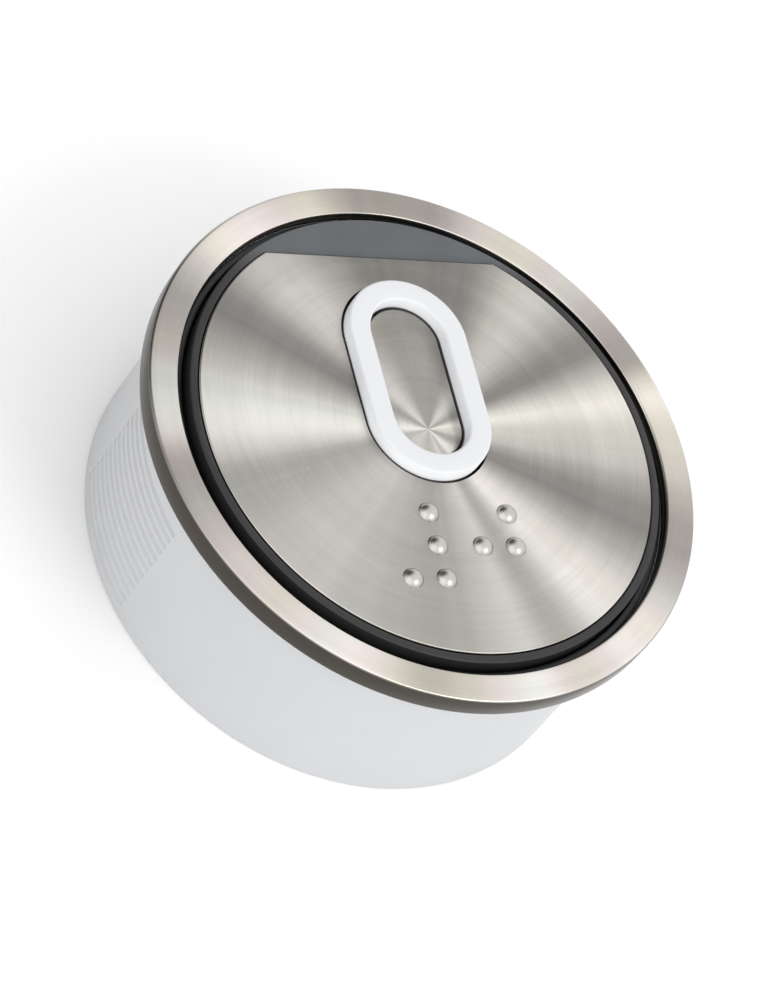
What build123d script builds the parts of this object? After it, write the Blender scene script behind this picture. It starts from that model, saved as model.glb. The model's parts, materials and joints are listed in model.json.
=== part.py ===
# Lift (elevator) push button for a ground floor, with a raised numeral and Braille dots.
#
# Frame, in millimetres: +Z is the axis of the button, out of its face. +Y points to the top of
# the numeral and +X to its right. z = 0 is the front surface of the panel that the button is
# mounted in, where the bezel and the body's collar seat. Everything below z = 0 is in the panel.
from build123d import *
import os
from math import cos, pi, sin

# Bezel and body, in the panel
BEZEL_RADIUS = 20.0
BEZEL_BORE = 17.86
BEZEL_HEIGHT = 1.75
BEZEL_EDGE = 0.2
COLLAR_RADIUS = 19.2
COLLAR_HEIGHT = 0.75
BARREL_RADIUS = 18.5
BARREL_EDGE = 0.25
BODY_REAR = -13.15
THREAD_START = -2.8
THREAD_ROOT = 18.15
THREAD_PITCH = 0.75
THREAD_GROOVES = 13
THREAD_ARC = 32
BODY_BORE = 16.9
REAR_BORE = 17.2
CHASSIS_SEAT = -5.3
SNAP_LOW = -12.6
SNAP_HIGH = -12.2
SNAP_GROOVE = 17.4

# Face, which moves
TRAVEL = 1.2
PLATE_RADIUS = 16.56
PLATE_CHORD = 14.05
PLATE_THICKNESS = 0.8
PLATE_TOP = 2.05
PLATE_EDGE = 0.08
ZERO_CENTRE = 4.1
ZERO_WIDTH = 8.85
ZERO_HEIGHT = 15.25
ZERO_STROKE = 1.6
ZERO_RISE = 0.9
ZERO_EDGE = 0.45
ZERO_GAP = 0.2
DOT_RADIUS = 0.75
DOT_RISE = 0.5
DOT_PITCH = 2.5
CELL_PITCH = 5.9
BRAILLE_TOP = -6.0
NUMBER_SIGN = ((1, 0), (1, 1), (1, 2), (0, 2))
DIGIT_ZERO = ((1, 0), (0, 1), (1, 1))

# Carrier under the face, and what keeps it in the body
CARRIER_RADIUS = 17.2
CARRIER_TOP = 1.95
CARRIER_UNDERSIDE = 0.1
CARRIER_EDGE = 0.15
DECK_BOTTOM = 0.25
SKIRT_OUTER = 15.85
SKIRT_INNER = 14.9
SKIRT_END = -3.0
SLEEVE_INNER = 17.35
SLEEVE_TOP = 0.95
SLEEVE_BOTTOM = -1.9
FOOT_INNER = 16.0
FOOT_TOP = -1.45
BUMPER_TOP = -1.15
KEY_RADIUS = 16.3
KEY_WIDTH = 2.0
RETAINER_OUTER = 16.6
RETAINER_LIP = 16.05
RETAINER_LIP_TOP = -2.05
RETAINER_BOTTOM = -3.8
POST_CIRCLE = 13.0
POST_RADIUS = 1.5

# Inside: board, lamps, switch, springs, connector and rear cover
CHASSIS_RADIUS = 17.1
CHASSIS_WALL = 16.2
LEDGE_INNER = 14.6
BOARD_RADIUS = 16.0
BOARD_TOP = -6.5
BOARD_THICKNESS = 1.2
SWITCH_Y = -7.4
SWITCH_LENGTH = 8.6
SWITCH_WIDTH = 4.6
SWITCH_TOP = -2.5
STEM_RADIUS = 0.8
STEM_TOP = -1.1
STEM_BOTTOM = -3.3
TERMINAL_PITCH = 2.54
TERMINAL_TAIL = 0.6
LAMP_SIZE = (2.0, 2.8, 1.2)
LAMP_SPACING = (3.2, 4.6)
REFLECTOR_BORE = 9.2
REFLECTOR_WALL = 0.6
REFLECTOR_TOP = -1.9
SPRING_RADIUS = 1.25
SPRING_WIRE = 0.14
SPRING_TURNS = 6
SPRING_SEAT = -6.0
SPRING_POCKET = 1.75
CONNECTOR_SIZE = (12.4, 5.6)
CONNECTOR_WALL = 0.8
CONNECTOR_MOUTH = -12.8
CONNECTOR_BASE = 1.0
KEYWAY_WIDTH = 3.4
KEYWAY_DEPTH = 2.4
PIN_PITCH = 2.5
PIN_WIDTH = 0.6
PIN_COUNT = 4
PIN_TIP = -12.1
COVER_REAR = -12.95
COVER_FRONT = -11.95
COVER_POST = 2.3
RESISTOR_SIZE = (2.0, 1.25, 0.5)
RESISTOR_X = 9.6
RESISTOR_SPACING = 3.0
DIODE_SIZE = (4.3, 2.6, 2.0)
DIODE_Y = 8.6

# Screws
RETAINER_SCREW = 0.7
RETAINER_HEAD = 1.3
RETAINER_SCREW_TIP = -1.0
COVER_SCREW = 0.75
COVER_HEAD = 1.4
COVER_SCREW_TIP = -4.5
COVER_BOSS_TOP = -3.5
HEAD_HEIGHT = 0.75
RECESS_WIDTH = 0.4
RECESS_DEPTH = 0.35

# Clearances
FIT_GAP = 0.05
MOVING_GAP = 0.15
HOLE_GAP = 0.1

POST_ANGLE = 0
SPRING_ANGLE = 60
BOSS_ANGLE = 30
THIRDS = 3

board_bottom = BOARD_TOP - BOARD_THICKNESS
deck_top = PLATE_TOP - PLATE_THICKNESS
dot_places = [
    Location((column * DOT_PITCH + cell * CELL_PITCH / 2 - DOT_PITCH / 2, BRAILLE_TOP - row * DOT_PITCH))
    for cell, dots in ((-1, NUMBER_SIGN), (1, DIGIT_ZERO))
    for column, row in dots
]

os.makedirs("parts", exist_ok=True)


def disc(radius, low, high, mode=Mode.ADD):
    """A disc on the axis between two heights, added to or cut from the current piece."""
    with BuildSketch(Plane.XY.offset(low)) as round_face:
        Circle(radius)
    extrude(round_face.sketch, amount=high - low, mode=mode)


def tube(outer, inner, low, high, mode=Mode.ADD):
    """A ring on the axis between two heights, added to or cut from the current piece."""
    with BuildSketch(Plane.XY.offset(low)) as ring_face:
        Circle(outer)
        Circle(inner, mode=Mode.SUBTRACT)
    extrude(ring_face.sketch, amount=high - low, mode=mode)


def third_rods(radius, start_angle, low, high, mode=Mode.ADD):
    """Three round rods or holes on the post circle, a third of a turn apart."""
    with BuildSketch(Plane.XY.offset(low)) as rod_faces:
        with PolarLocations(POST_CIRCLE, THIRDS, start_angle=start_angle):
            Circle(radius)
    extrude(rod_faces.sketch, amount=high - low, mode=mode)


def numeral_slot(height, width, low, high, mode=Mode.ADD):
    """A block with the numeral's long round-ended outline, between two heights."""
    with BuildSketch(Plane.XY.offset(low)) as slot_face:
        with Locations((0, ZERO_CENTRE)):
            SlotOverall(height, width, rotation=90)
    extrude(slot_face.sketch, amount=high - low, mode=mode)


def plate_block(radius, chord, low, high, mode=Mode.ADD):
    """A disc with its top cut off straight at the chord."""
    with BuildSketch(Plane.XY.offset(low)) as cut_disc:
        Circle(radius)
        with Locations((0, chord + radius)):
            Rectangle(2 * radius, 2 * radius, mode=Mode.SUBTRACT)
    extrude(cut_disc.sketch, amount=high - low, mode=mode)


def screw_set(start_angle, shank, shank_tip, head, seat):
    """Three screws with cross recesses, heads down, as separate solids of the current piece."""
    third_rods(shank, start_angle, seat, shank_tip)
    third_rods(head, start_angle, seat - HEAD_HEIGHT, seat)
    with BuildSketch(Plane.XY.offset(seat - HEAD_HEIGHT)) as recesses:
        with PolarLocations(POST_CIRCLE, THIRDS, start_angle=start_angle):
            Rectangle(head, RECESS_WIDTH)
            Rectangle(RECESS_WIDTH, head)
    extrude(recesses.sketch, amount=RECESS_DEPTH, mode=Mode.SUBTRACT)


# Bezel ring: turned steel flange with a rebate in its back for the body's collar
with BuildPart() as bezel_ring:
    tube(BEZEL_RADIUS, BEZEL_BORE, 0, BEZEL_HEIGHT)
    tube(COLLAR_RADIUS + FIT_GAP, BEZEL_BORE, 0, COLLAR_HEIGHT, Mode.SUBTRACT)
    front_edges = bezel_ring.edges().filter_by(GeomType.CIRCLE).group_by(Axis.Z)[-1]
    fillet(front_edges.sort_by(SortBy.RADIUS)[-1], BEZEL_EDGE)
bezel_ring.part.label = "bezel_ring"
export_step(bezel_ring.part, "parts/bezel_ring.step")

# Threaded body: white moulded barrel with a front collar, smooth outside but for two narrow
# strips of fine thread, cut as grooves on its right and left sides
with BuildPart() as threaded_body:
    with BuildSketch(Plane.XZ) as barrel_section:
        with BuildLine():
            Polyline(
                (COLLAR_RADIUS, 0),
                (BARREL_RADIUS, 0),
                (BARREL_RADIUS, BODY_REAR),
                (REAR_BORE, BODY_REAR),
                (REAR_BORE, SNAP_LOW),
                (SNAP_GROOVE, SNAP_LOW),
                (SNAP_GROOVE, SNAP_HIGH),
                (REAR_BORE, SNAP_HIGH),
                (REAR_BORE, CHASSIS_SEAT),
                (BODY_BORE, CHASSIS_SEAT),
                (BODY_BORE, SLEEVE_BOTTOM),
                (BEZEL_BORE, SLEEVE_BOTTOM),
                (BEZEL_BORE, COLLAR_HEIGHT),
                (COLLAR_RADIUS, COLLAR_HEIGHT),
                close=True,
            )
        make_face()
    revolve(axis=Axis.Z)
    rear_edges = threaded_body.edges().filter_by(GeomType.CIRCLE).group_by(Axis.Z)[0]
    chamfer(rear_edges.sort_by(SortBy.RADIUS)[-1], BARREL_EDGE)
    for strip_angle in (0, 180):
        strip_plane = Plane.XZ.rotated((0, 0, strip_angle - THREAD_ARC / 2))
        with BuildSketch(strip_plane) as groove_sections:
            for groove in range(THREAD_GROOVES):
                groove_top = THREAD_START - groove * THREAD_PITCH
                with BuildLine():
                    Polyline(
                        (BARREL_RADIUS + FIT_GAP, groove_top),
                        (THREAD_ROOT, groove_top - THREAD_PITCH * 3 / 8),
                        (BARREL_RADIUS + FIT_GAP, groove_top - THREAD_PITCH * 3 / 4),
                        close=True,
                    )
                make_face()
        revolve(axis=Axis.Z, revolution_arc=THREAD_ARC, mode=Mode.SUBTRACT)
threaded_body.part.label = "threaded_body"
export_step(threaded_body.part, "parts/threaded_body.step")

# Guide sleeve: black ring that the face slides in, with an inward foot and two key notches
with BuildPart() as guide_sleeve:
    tube(BEZEL_BORE - FIT_GAP, SLEEVE_INNER, SLEEVE_BOTTOM, SLEEVE_TOP)
    tube(BEZEL_BORE - FIT_GAP, FOOT_INNER, SLEEVE_BOTTOM, FOOT_TOP)
    with BuildSketch(Plane.XY.offset(SLEEVE_BOTTOM)) as notches:
        Rectangle(KEY_WIDTH + 2 * MOVING_GAP, 2 * (KEY_RADIUS + MOVING_GAP))
    extrude(amount=FOOT_TOP - SLEEVE_BOTTOM, mode=Mode.SUBTRACT)
guide_sleeve.part.label = "guide_sleeve"
export_step(guide_sleeve.part, "parts/guide_sleeve.step")

# Bumper ring: rubber stop under the carrier's rim
with BuildPart() as bumper_ring:
    tube(SLEEVE_INNER - FIT_GAP, KEY_RADIUS + MOVING_GAP, FOOT_TOP, BUMPER_TOP)
bumper_ring.part.label = "bumper_ring"
export_step(bumper_ring.part, "parts/bumper_ring.step")

# Cap carrier: dark moulded cap that holds the steel face, with its skirt, keys, screw posts
# and the pad that presses the switch
with BuildPart() as cap_carrier:
    disc(CARRIER_RADIUS, DECK_BOTTOM, CARRIER_TOP)
    rim_edges = cap_carrier.edges().filter_by(GeomType.CIRCLE).group_by(Axis.Z)[-1]
    fillet(rim_edges, CARRIER_EDGE)
    tube(CARRIER_RADIUS, SKIRT_INNER, CARRIER_UNDERSIDE, DECK_BOTTOM)
    tube(SKIRT_OUTER, SKIRT_INNER, SKIRT_END, CARRIER_UNDERSIDE)
    third_rods(POST_RADIUS, POST_ANGLE, SKIRT_END, DECK_BOTTOM)
    with BuildSketch(Plane.XY.offset(RETAINER_LIP_TOP + FIT_GAP)) as keys:
        with Locations((0, (KEY_RADIUS + SKIRT_INNER) / 2), (0, -(KEY_RADIUS + SKIRT_INNER) / 2)):
            Rectangle(KEY_WIDTH, KEY_RADIUS - SKIRT_INNER)
    extrude(amount=CARRIER_UNDERSIDE - RETAINER_LIP_TOP - FIT_GAP)
    with BuildSketch(Plane.XY.offset(STEM_TOP + FIT_GAP)) as switch_pad:
        with Locations((0, SWITCH_Y)):
            Circle(POST_RADIUS)
    extrude(amount=DECK_BOTTOM - STEM_TOP - FIT_GAP)
    plate_block(PLATE_RADIUS + FIT_GAP, PLATE_CHORD + FIT_GAP, deck_top, CARRIER_TOP, Mode.SUBTRACT)
    numeral_slot(ZERO_HEIGHT + HOLE_GAP, ZERO_WIDTH + HOLE_GAP, DECK_BOTTOM, deck_top, Mode.SUBTRACT)
    third_rods(RETAINER_SCREW + FIT_GAP, POST_ANGLE, SKIRT_END, RETAINER_SCREW_TIP + HOLE_GAP, Mode.SUBTRACT)
cap_carrier.part.label = "cap_carrier"
export_step(cap_carrier.part, "parts/cap_carrier.step")

# Face plate: brushed steel disc, cut straight at its top, with the numeral's slot and dot holes
with BuildPart() as face_plate:
    plate_block(PLATE_RADIUS, PLATE_CHORD, deck_top, PLATE_TOP)
    fillet(face_plate.edges().group_by(Axis.Z)[-1], PLATE_EDGE)
    numeral_slot(ZERO_HEIGHT + 2 * ZERO_GAP, ZERO_WIDTH + 2 * ZERO_GAP, deck_top, PLATE_TOP, Mode.SUBTRACT)
    with BuildSketch(Plane.XY.offset(deck_top)) as dot_holes:
        with Locations(*dot_places):
            Circle(DOT_RADIUS + FIT_GAP)
    extrude(amount=PLATE_THICKNESS, mode=Mode.SUBTRACT)
face_plate.part.label = "face_plate"
export_step(face_plate.part, "parts/face_plate.step")

# Zero island: the steel inside the numeral, level with the plate
with BuildPart() as zero_island:
    island_width = ZERO_WIDTH - 2 * ZERO_STROKE - 2 * ZERO_GAP
    island_height = ZERO_HEIGHT - 2 * ZERO_STROKE - 2 * ZERO_GAP
    numeral_slot(island_height, island_width, deck_top, PLATE_TOP)
    fillet(zero_island.edges().group_by(Axis.Z)[-1], PLATE_EDGE)
zero_island.part.label = "zero_island"
export_step(zero_island.part, "parts/zero_island.step")

# Symbol lens: white light guide whose rim stands proud as the numeral, flanged under the deck
with BuildPart() as symbol_lens:
    lens_flange = DECK_BOTTOM - ZERO_STROKE * 3 / 8
    numeral_slot(ZERO_HEIGHT, ZERO_WIDTH, DECK_BOTTOM, PLATE_TOP + ZERO_RISE)
    numeral_slot(
        ZERO_HEIGHT - 2 * ZERO_STROKE,
        ZERO_WIDTH - 2 * ZERO_STROKE,
        deck_top,
        PLATE_TOP + ZERO_RISE,
        Mode.SUBTRACT,
    )
    fillet(symbol_lens.edges().group_by(Axis.Z)[-1], ZERO_EDGE)
    numeral_slot(ZERO_HEIGHT + ZERO_STROKE, ZERO_WIDTH + ZERO_STROKE, lens_flange, DECK_BOTTOM)
symbol_lens.part.label = "symbol_lens"
export_step(symbol_lens.part, "parts/symbol_lens.step")

# Braille pins: number sign and digit zero, domed steel pins set in the plate
with BuildPart() as braille_pins:
    with BuildSketch(Plane.XY.offset(deck_top)) as shanks:
        with Locations(*dot_places):
            Circle(DOT_RADIUS)
    extrude(amount=PLATE_THICKNESS)
    for place in dot_places:
        with BuildSketch(Plane.XZ.offset(-place.position.Y)) as dome_section:
            with BuildLine():
                dome_edge = (place.position.X + DOT_RADIUS, PLATE_TOP)
                dome_peak = (place.position.X, PLATE_TOP + DOT_RISE)
                dome_foot = (place.position.X, PLATE_TOP)
                RadiusArc(dome_edge, dome_peak, -(DOT_RADIUS**2 + DOT_RISE**2) / (2 * DOT_RISE))
                Line(dome_peak, dome_foot)
                Line(dome_foot, dome_edge)
            make_face()
        revolve(axis=Axis((place.position.X, place.position.Y, 0), (0, 0, 1)))
braille_pins.part.label = "braille_pins"
export_step(braille_pins.part, "parts/braille_pins.step")

# Retainer ring: screwed under the carrier, its lip rests below the sleeve's foot
with BuildPart() as retainer_ring:
    tube(RETAINER_OUTER, SKIRT_INNER, RETAINER_BOTTOM, SKIRT_END)
    tube(RETAINER_OUTER, RETAINER_LIP, SKIRT_END, RETAINER_LIP_TOP)
    third_rods(SKIRT_INNER + FIT_GAP * 6 - POST_CIRCLE, POST_ANGLE, RETAINER_BOTTOM, SKIRT_END)
    third_rods(RETAINER_SCREW + HOLE_GAP, POST_ANGLE, RETAINER_BOTTOM, SKIRT_END, Mode.SUBTRACT)
retainer_ring.part.label = "retainer_ring"
export_step(retainer_ring.part, "parts/retainer_ring.step")

# Retainer screws: hold the retainer ring to the carrier's posts
with BuildPart() as retainer_screws:
    screw_set(POST_ANGLE, RETAINER_SCREW, RETAINER_SCREW_TIP, RETAINER_HEAD, RETAINER_BOTTOM)
retainer_screws.part.label = "retainer_screws"
export_step(retainer_screws.part, "parts/retainer_screws.step")

# Inner chassis: fixed frame with the ledge for the board, spring seats and screw bosses
with BuildPart() as inner_chassis:
    boss_root = LEDGE_INNER + FIT_GAP * 6 - POST_CIRCLE
    spring_boss = SPRING_POCKET + CONNECTOR_WALL / 2
    tube(CHASSIS_RADIUS, CHASSIS_WALL, COVER_FRONT, CHASSIS_SEAT)
    tube(CHASSIS_RADIUS, LEDGE_INNER, BOARD_TOP, CHASSIS_SEAT)
    third_rods(spring_boss, SPRING_ANGLE, BOARD_TOP, CHASSIS_SEAT)
    third_rods(boss_root, BOSS_ANGLE, BOARD_TOP, CHASSIS_SEAT)
    third_rods(POST_RADIUS, BOSS_ANGLE, BOARD_TOP, COVER_BOSS_TOP)
    third_rods(SPRING_POCKET, SPRING_ANGLE, SPRING_SEAT, CHASSIS_SEAT, Mode.SUBTRACT)
    third_rods(COVER_SCREW + FIT_GAP, BOSS_ANGLE, BOARD_TOP, COVER_SCREW_TIP + HOLE_GAP, Mode.SUBTRACT)
inner_chassis.part.label = "inner_chassis"
export_step(inner_chassis.part, "parts/inner_chassis.step")

# Circuit board: round board with holes for the screws, the switch and the connector
with BuildPart() as circuit_board:
    disc(BOARD_RADIUS, board_bottom, BOARD_TOP)
    third_rods(COVER_SCREW + HOLE_GAP, BOSS_ANGLE, board_bottom, BOARD_TOP, Mode.SUBTRACT)
    with BuildSketch(Plane.XY.offset(board_bottom)) as lead_holes:
        with GridLocations(PIN_PITCH, 0, PIN_COUNT, 1):
            Circle(PIN_WIDTH * 3 / 4)
        with Locations((0, SWITCH_Y)):
            with GridLocations(TERMINAL_PITCH, 0, 3, 1):
                Circle(PIN_WIDTH * 3 / 4)
    extrude(amount=BOARD_THICKNESS, mode=Mode.SUBTRACT)
circuit_board.part.label = "circuit_board"
export_step(circuit_board.part, "parts/circuit_board.step")

# Lamps: surface-mounted light-emitting diodes under the numeral
with BuildPart() as led_lamps:
    with BuildSketch(Plane.XY.offset(BOARD_TOP)) as lamp_faces:
        with Locations((0, ZERO_CENTRE)):
            with GridLocations(*LAMP_SPACING, 2, 3):
                Rectangle(LAMP_SIZE[0], LAMP_SIZE[1])
    extrude(amount=LAMP_SIZE[2])
    chamfer(led_lamps.edges().group_by(Axis.Z)[-1], HOLE_GAP)
led_lamps.part.label = "led_lamps"
export_step(led_lamps.part, "parts/led_lamps.step")

# Light reflector: white wall round the lamps, up to the lens
with BuildPart() as light_reflector:
    bore_height = REFLECTOR_BORE + ZERO_HEIGHT - ZERO_WIDTH
    numeral_slot(bore_height + 2 * REFLECTOR_WALL, REFLECTOR_BORE + 2 * REFLECTOR_WALL, BOARD_TOP, REFLECTOR_TOP)
    numeral_slot(bore_height, REFLECTOR_BORE, BOARD_TOP, REFLECTOR_TOP, Mode.SUBTRACT)
light_reflector.part.label = "light_reflector"
export_step(light_reflector.part, "parts/light_reflector.step")

# Microswitch case, with the well that its stem slides in
with BuildPart() as microswitch_case:
    with BuildSketch(Plane.XY.offset(BOARD_TOP)) as case_face:
        with Locations((0, SWITCH_Y)):
            RectangleRounded(SWITCH_LENGTH, SWITCH_WIDTH, PLATE_EDGE * 5)
    extrude(amount=SWITCH_TOP - BOARD_TOP)
    with BuildSketch(Plane.XY.offset(SWITCH_TOP)) as stem_well:
        with Locations((0, SWITCH_Y)):
            Circle(STEM_RADIUS + HOLE_GAP)
    extrude(amount=STEM_BOTTOM - TRAVEL - 2 * HOLE_GAP - SWITCH_TOP, mode=Mode.SUBTRACT)
microswitch_case.part.label = "microswitch_case"
export_step(microswitch_case.part, "parts/microswitch_case.step")

# Microswitch stem: the plunger that the carrier's pad presses
with BuildPart() as microswitch_stem:
    with BuildSketch(Plane.XY.offset(STEM_BOTTOM)) as stem_face:
        with Locations((0, SWITCH_Y)):
            Circle(STEM_RADIUS)
    extrude(amount=STEM_TOP - STEM_BOTTOM)
    chamfer(microswitch_stem.edges().group_by(Axis.Z)[-1], HOLE_GAP)
microswitch_stem.part.label = "microswitch_stem"
export_step(microswitch_stem.part, "parts/microswitch_stem.step")

# Microswitch terminals: legs soldered through the board
with BuildPart() as microswitch_terminals:
    with BuildSketch(Plane.XY.offset(board_bottom - TERMINAL_TAIL)) as leg_faces:
        with Locations((0, SWITCH_Y)):
            with GridLocations(TERMINAL_PITCH, 0, 3, 1):
                Rectangle(PIN_WIDTH, PIN_WIDTH / 2)
    extrude(amount=BOARD_THICKNESS + TERMINAL_TAIL)
microswitch_terminals.part.label = "microswitch_terminals"
export_step(microswitch_terminals.part, "parts/microswitch_terminals.step")

# Return springs: compression coils between the chassis and the deck
with BuildPart() as return_springs:
    coil_low = SPRING_SEAT + SPRING_WIRE + FIT_GAP
    coil_high = DECK_BOTTOM - SPRING_WIRE - FIT_GAP
    for third in range(THIRDS):
        angle = (SPRING_ANGLE + third * 360 / THIRDS) * pi / 180
        coil_centre = (POST_CIRCLE * cos(angle), POST_CIRCLE * sin(angle), coil_low)
        with BuildLine() as coil_path:
            Helix((coil_high - coil_low) / SPRING_TURNS, coil_high - coil_low, SPRING_RADIUS, center=coil_centre)
        with BuildSketch(coil_path.line ^ 0) as wire_face:
            Circle(SPRING_WIRE)
        sweep(path=coil_path.line, is_frenet=True)
return_springs.part.label = "return_springs"
export_step(return_springs.part, "parts/return_springs.step")

# Resistors on the back of the board
with BuildPart() as resistors:
    with BuildSketch(Plane.XY.offset(board_bottom)) as resistor_faces:
        with GridLocations(2 * RESISTOR_X, RESISTOR_SPACING, 2, 3):
            Rectangle(RESISTOR_SIZE[0], RESISTOR_SIZE[1])
    extrude(amount=-RESISTOR_SIZE[2])
resistors.part.label = "resistors"
export_step(resistors.part, "parts/resistors.step")

# Suppressor diode on the back of the board
with BuildPart() as suppressor_diode:
    with BuildSketch(Plane.XY.offset(board_bottom)) as diode_face:
        with Locations((0, DIODE_Y)):
            Rectangle(DIODE_SIZE[0], DIODE_SIZE[1])
    extrude(amount=-DIODE_SIZE[2])
    chamfer(suppressor_diode.edges().group_by(Axis.Z)[0], 2 * HOLE_GAP)
suppressor_diode.part.label = "suppressor_diode"
export_step(suppressor_diode.part, "parts/suppressor_diode.step")

# Connector shell: rectangular socket behind the board, open to the rear, with a keyway
with BuildPart() as connector_shell:
    cavity_length = CONNECTOR_SIZE[0] - 2 * CONNECTOR_WALL
    cavity_width = CONNECTOR_SIZE[1] - 2 * CONNECTOR_WALL
    with BuildSketch(Plane.XY.offset(CONNECTOR_MOUTH)) as shell_face:
        Rectangle(CONNECTOR_SIZE[0], CONNECTOR_SIZE[1])
    extrude(amount=board_bottom - CONNECTOR_MOUTH)
    with BuildSketch(Plane.XY.offset(CONNECTOR_MOUTH)) as cavity_face:
        Rectangle(cavity_length, cavity_width)
    extrude(amount=board_bottom - CONNECTOR_BASE - CONNECTOR_MOUTH, mode=Mode.SUBTRACT)
    with BuildSketch(Plane.XY.offset(CONNECTOR_MOUTH)) as keyway_face:
        with Locations((0, CONNECTOR_SIZE[1] / 2)):
            Rectangle(KEYWAY_WIDTH, CONNECTOR_WALL * 2)
    extrude(amount=KEYWAY_DEPTH, mode=Mode.SUBTRACT)
    with BuildSketch(Plane.XY.offset(board_bottom)) as pin_slots:
        with GridLocations(PIN_PITCH, 0, PIN_COUNT, 1):
            Rectangle(PIN_WIDTH + FIT_GAP, PIN_WIDTH + FIT_GAP)
    extrude(amount=-CONNECTOR_BASE, mode=Mode.SUBTRACT)
connector_shell.part.label = "connector_shell"
export_step(connector_shell.part, "parts/connector_shell.step")

# Connector pins: square posts, soldered flush in the board
with BuildPart() as connector_pins:
    with BuildSketch(Plane.XY.offset(PIN_TIP)) as pin_faces:
        with GridLocations(PIN_PITCH, 0, PIN_COUNT, 1):
            Rectangle(PIN_WIDTH, PIN_WIDTH)
    extrude(amount=BOARD_TOP - HOLE_GAP - PIN_TIP)
    chamfer(connector_pins.edges().group_by(Axis.Z)[0], HOLE_GAP)
connector_pins.part.label = "connector_pins"
export_step(connector_pins.part, "parts/connector_pins.step")

# Rear cover: snaps into the body's groove, clamps the board on three posts
with BuildPart() as rear_cover:
    disc(CHASSIS_RADIUS, COVER_REAR, COVER_FRONT)
    disc(SNAP_GROOVE - HOLE_GAP, SNAP_LOW + FIT_GAP, SNAP_HIGH - FIT_GAP)
    third_rods(COVER_POST, BOSS_ANGLE, COVER_FRONT, board_bottom)
    third_rods(COVER_SCREW + HOLE_GAP, BOSS_ANGLE, COVER_REAR, board_bottom, Mode.SUBTRACT)
    third_rods(COVER_HEAD + HOLE_GAP, BOSS_ANGLE, COVER_REAR, COVER_FRONT, Mode.SUBTRACT)
    with BuildSketch(Plane.XY.offset(COVER_REAR)) as connector_window:
        Rectangle(CONNECTOR_SIZE[0] + 2 * HOLE_GAP, CONNECTOR_SIZE[1] + 2 * HOLE_GAP)
    extrude(amount=COVER_FRONT - COVER_REAR, mode=Mode.SUBTRACT)
rear_cover.part.label = "rear_cover"
export_step(rear_cover.part, "parts/rear_cover.step")

# Cover screws: through the cover and the board into the chassis
with BuildPart() as cover_screws:
    screw_set(BOSS_ANGLE, COVER_SCREW, COVER_SCREW_TIP, COVER_HEAD, COVER_FRONT)
cover_screws.part.label = "cover_screws"
export_step(cover_screws.part, "parts/cover_screws.step")
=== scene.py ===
"""Lift push button: the visible pieces, finishes and studio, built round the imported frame."""
import json
from math import cos, pi, radians, sin

import bpy
from bpy.props import FloatProperty, FloatVectorProperty, IntProperty, PointerProperty
from mathutils import Matrix, Vector


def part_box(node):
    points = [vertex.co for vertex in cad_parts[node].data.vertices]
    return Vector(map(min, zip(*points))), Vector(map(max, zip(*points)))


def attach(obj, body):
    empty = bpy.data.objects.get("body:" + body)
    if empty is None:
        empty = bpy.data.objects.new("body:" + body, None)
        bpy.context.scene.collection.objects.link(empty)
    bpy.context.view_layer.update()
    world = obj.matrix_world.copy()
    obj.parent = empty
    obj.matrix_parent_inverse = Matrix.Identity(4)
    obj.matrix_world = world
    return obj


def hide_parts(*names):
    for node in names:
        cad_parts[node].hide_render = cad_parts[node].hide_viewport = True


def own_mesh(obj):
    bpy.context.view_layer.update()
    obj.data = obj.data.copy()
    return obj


bl_info = {
    "name": "Lift push button",
    "version": (1, 0, 0),
    "blender": (4, 5, 0),
    "location": "View3D > Sidebar > Lift Button",
    "description": "Builds a panel-mounted lift push button with a raised numeral and Braille",
    "category": "Add Mesh",
}

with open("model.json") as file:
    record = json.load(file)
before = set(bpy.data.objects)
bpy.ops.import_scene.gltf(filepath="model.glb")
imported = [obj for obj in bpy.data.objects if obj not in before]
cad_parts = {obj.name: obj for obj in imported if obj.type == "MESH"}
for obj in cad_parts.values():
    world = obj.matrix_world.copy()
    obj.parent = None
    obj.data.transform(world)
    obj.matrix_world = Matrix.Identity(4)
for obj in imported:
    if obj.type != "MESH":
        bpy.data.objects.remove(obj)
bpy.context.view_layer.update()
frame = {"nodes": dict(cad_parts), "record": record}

MM = 0.001
EPS = 0.01 * MM

# Tones of the painted reflection rays in the circular brushing, from 0 to 1
DARK, DIM, LIGHT, BRIGHT = 0.12, 0.34, 0.60, 0.88
# Broad painted reflection rays: degrees from +X and tone, with the first repeated at the end to close the
# circle
FACE_PAINTED_REFLECTION_RAYS = (
    (0, LIGHT), (10, BRIGHT), (25, DARK), (45, LIGHT), (65, DARK), (95, DARK), (125, LIGHT), (145, DARK),
    (180, BRIGHT), (195, DIM), (220, LIGHT), (260, DIM), (280, LIGHT), (290, DIM), (305, BRIGHT), (335, DARK),
    (360, LIGHT),
)
BEZEL_PAINTED_REFLECTION_RAYS = (
    (0, LIGHT), (10, BRIGHT), (20, DARK), (45, LIGHT), (60, LIGHT), (75, DARK), (90, DARK), (105, LIGHT),
    (125, BRIGHT), (150, DARK), (180, LIGHT), (190, DARK), (220, LIGHT), (240, BRIGHT), (255, DIM),
    (280, BRIGHT), (290, LIGHT), (305, BRIGHT), (335, DARK), (360, LIGHT),
)
BRUSHING_CENTRE = (0, 0.45 * MM, 0)
# painted shade: the dark tone painted on the bezel's outer wall
PAINTED_WALL_SHADE = (0.070, 0.064, 0.055)
# painted shade in the groove round the numeral
PAINTED_GROOVE_SHADE = (0.13, 0.13, 0.12)


def top(node):
    """Height of a node's highest point."""
    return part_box(node)[1].z


def bottom(node):
    """Height of a node's lowest point."""
    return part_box(node)[0].z


def half_width(node):
    """Half of a node's extent along X."""
    low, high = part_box(node)
    return (high.x - low.x) / 2


# ---------------------------------------------------------------- settings


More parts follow.
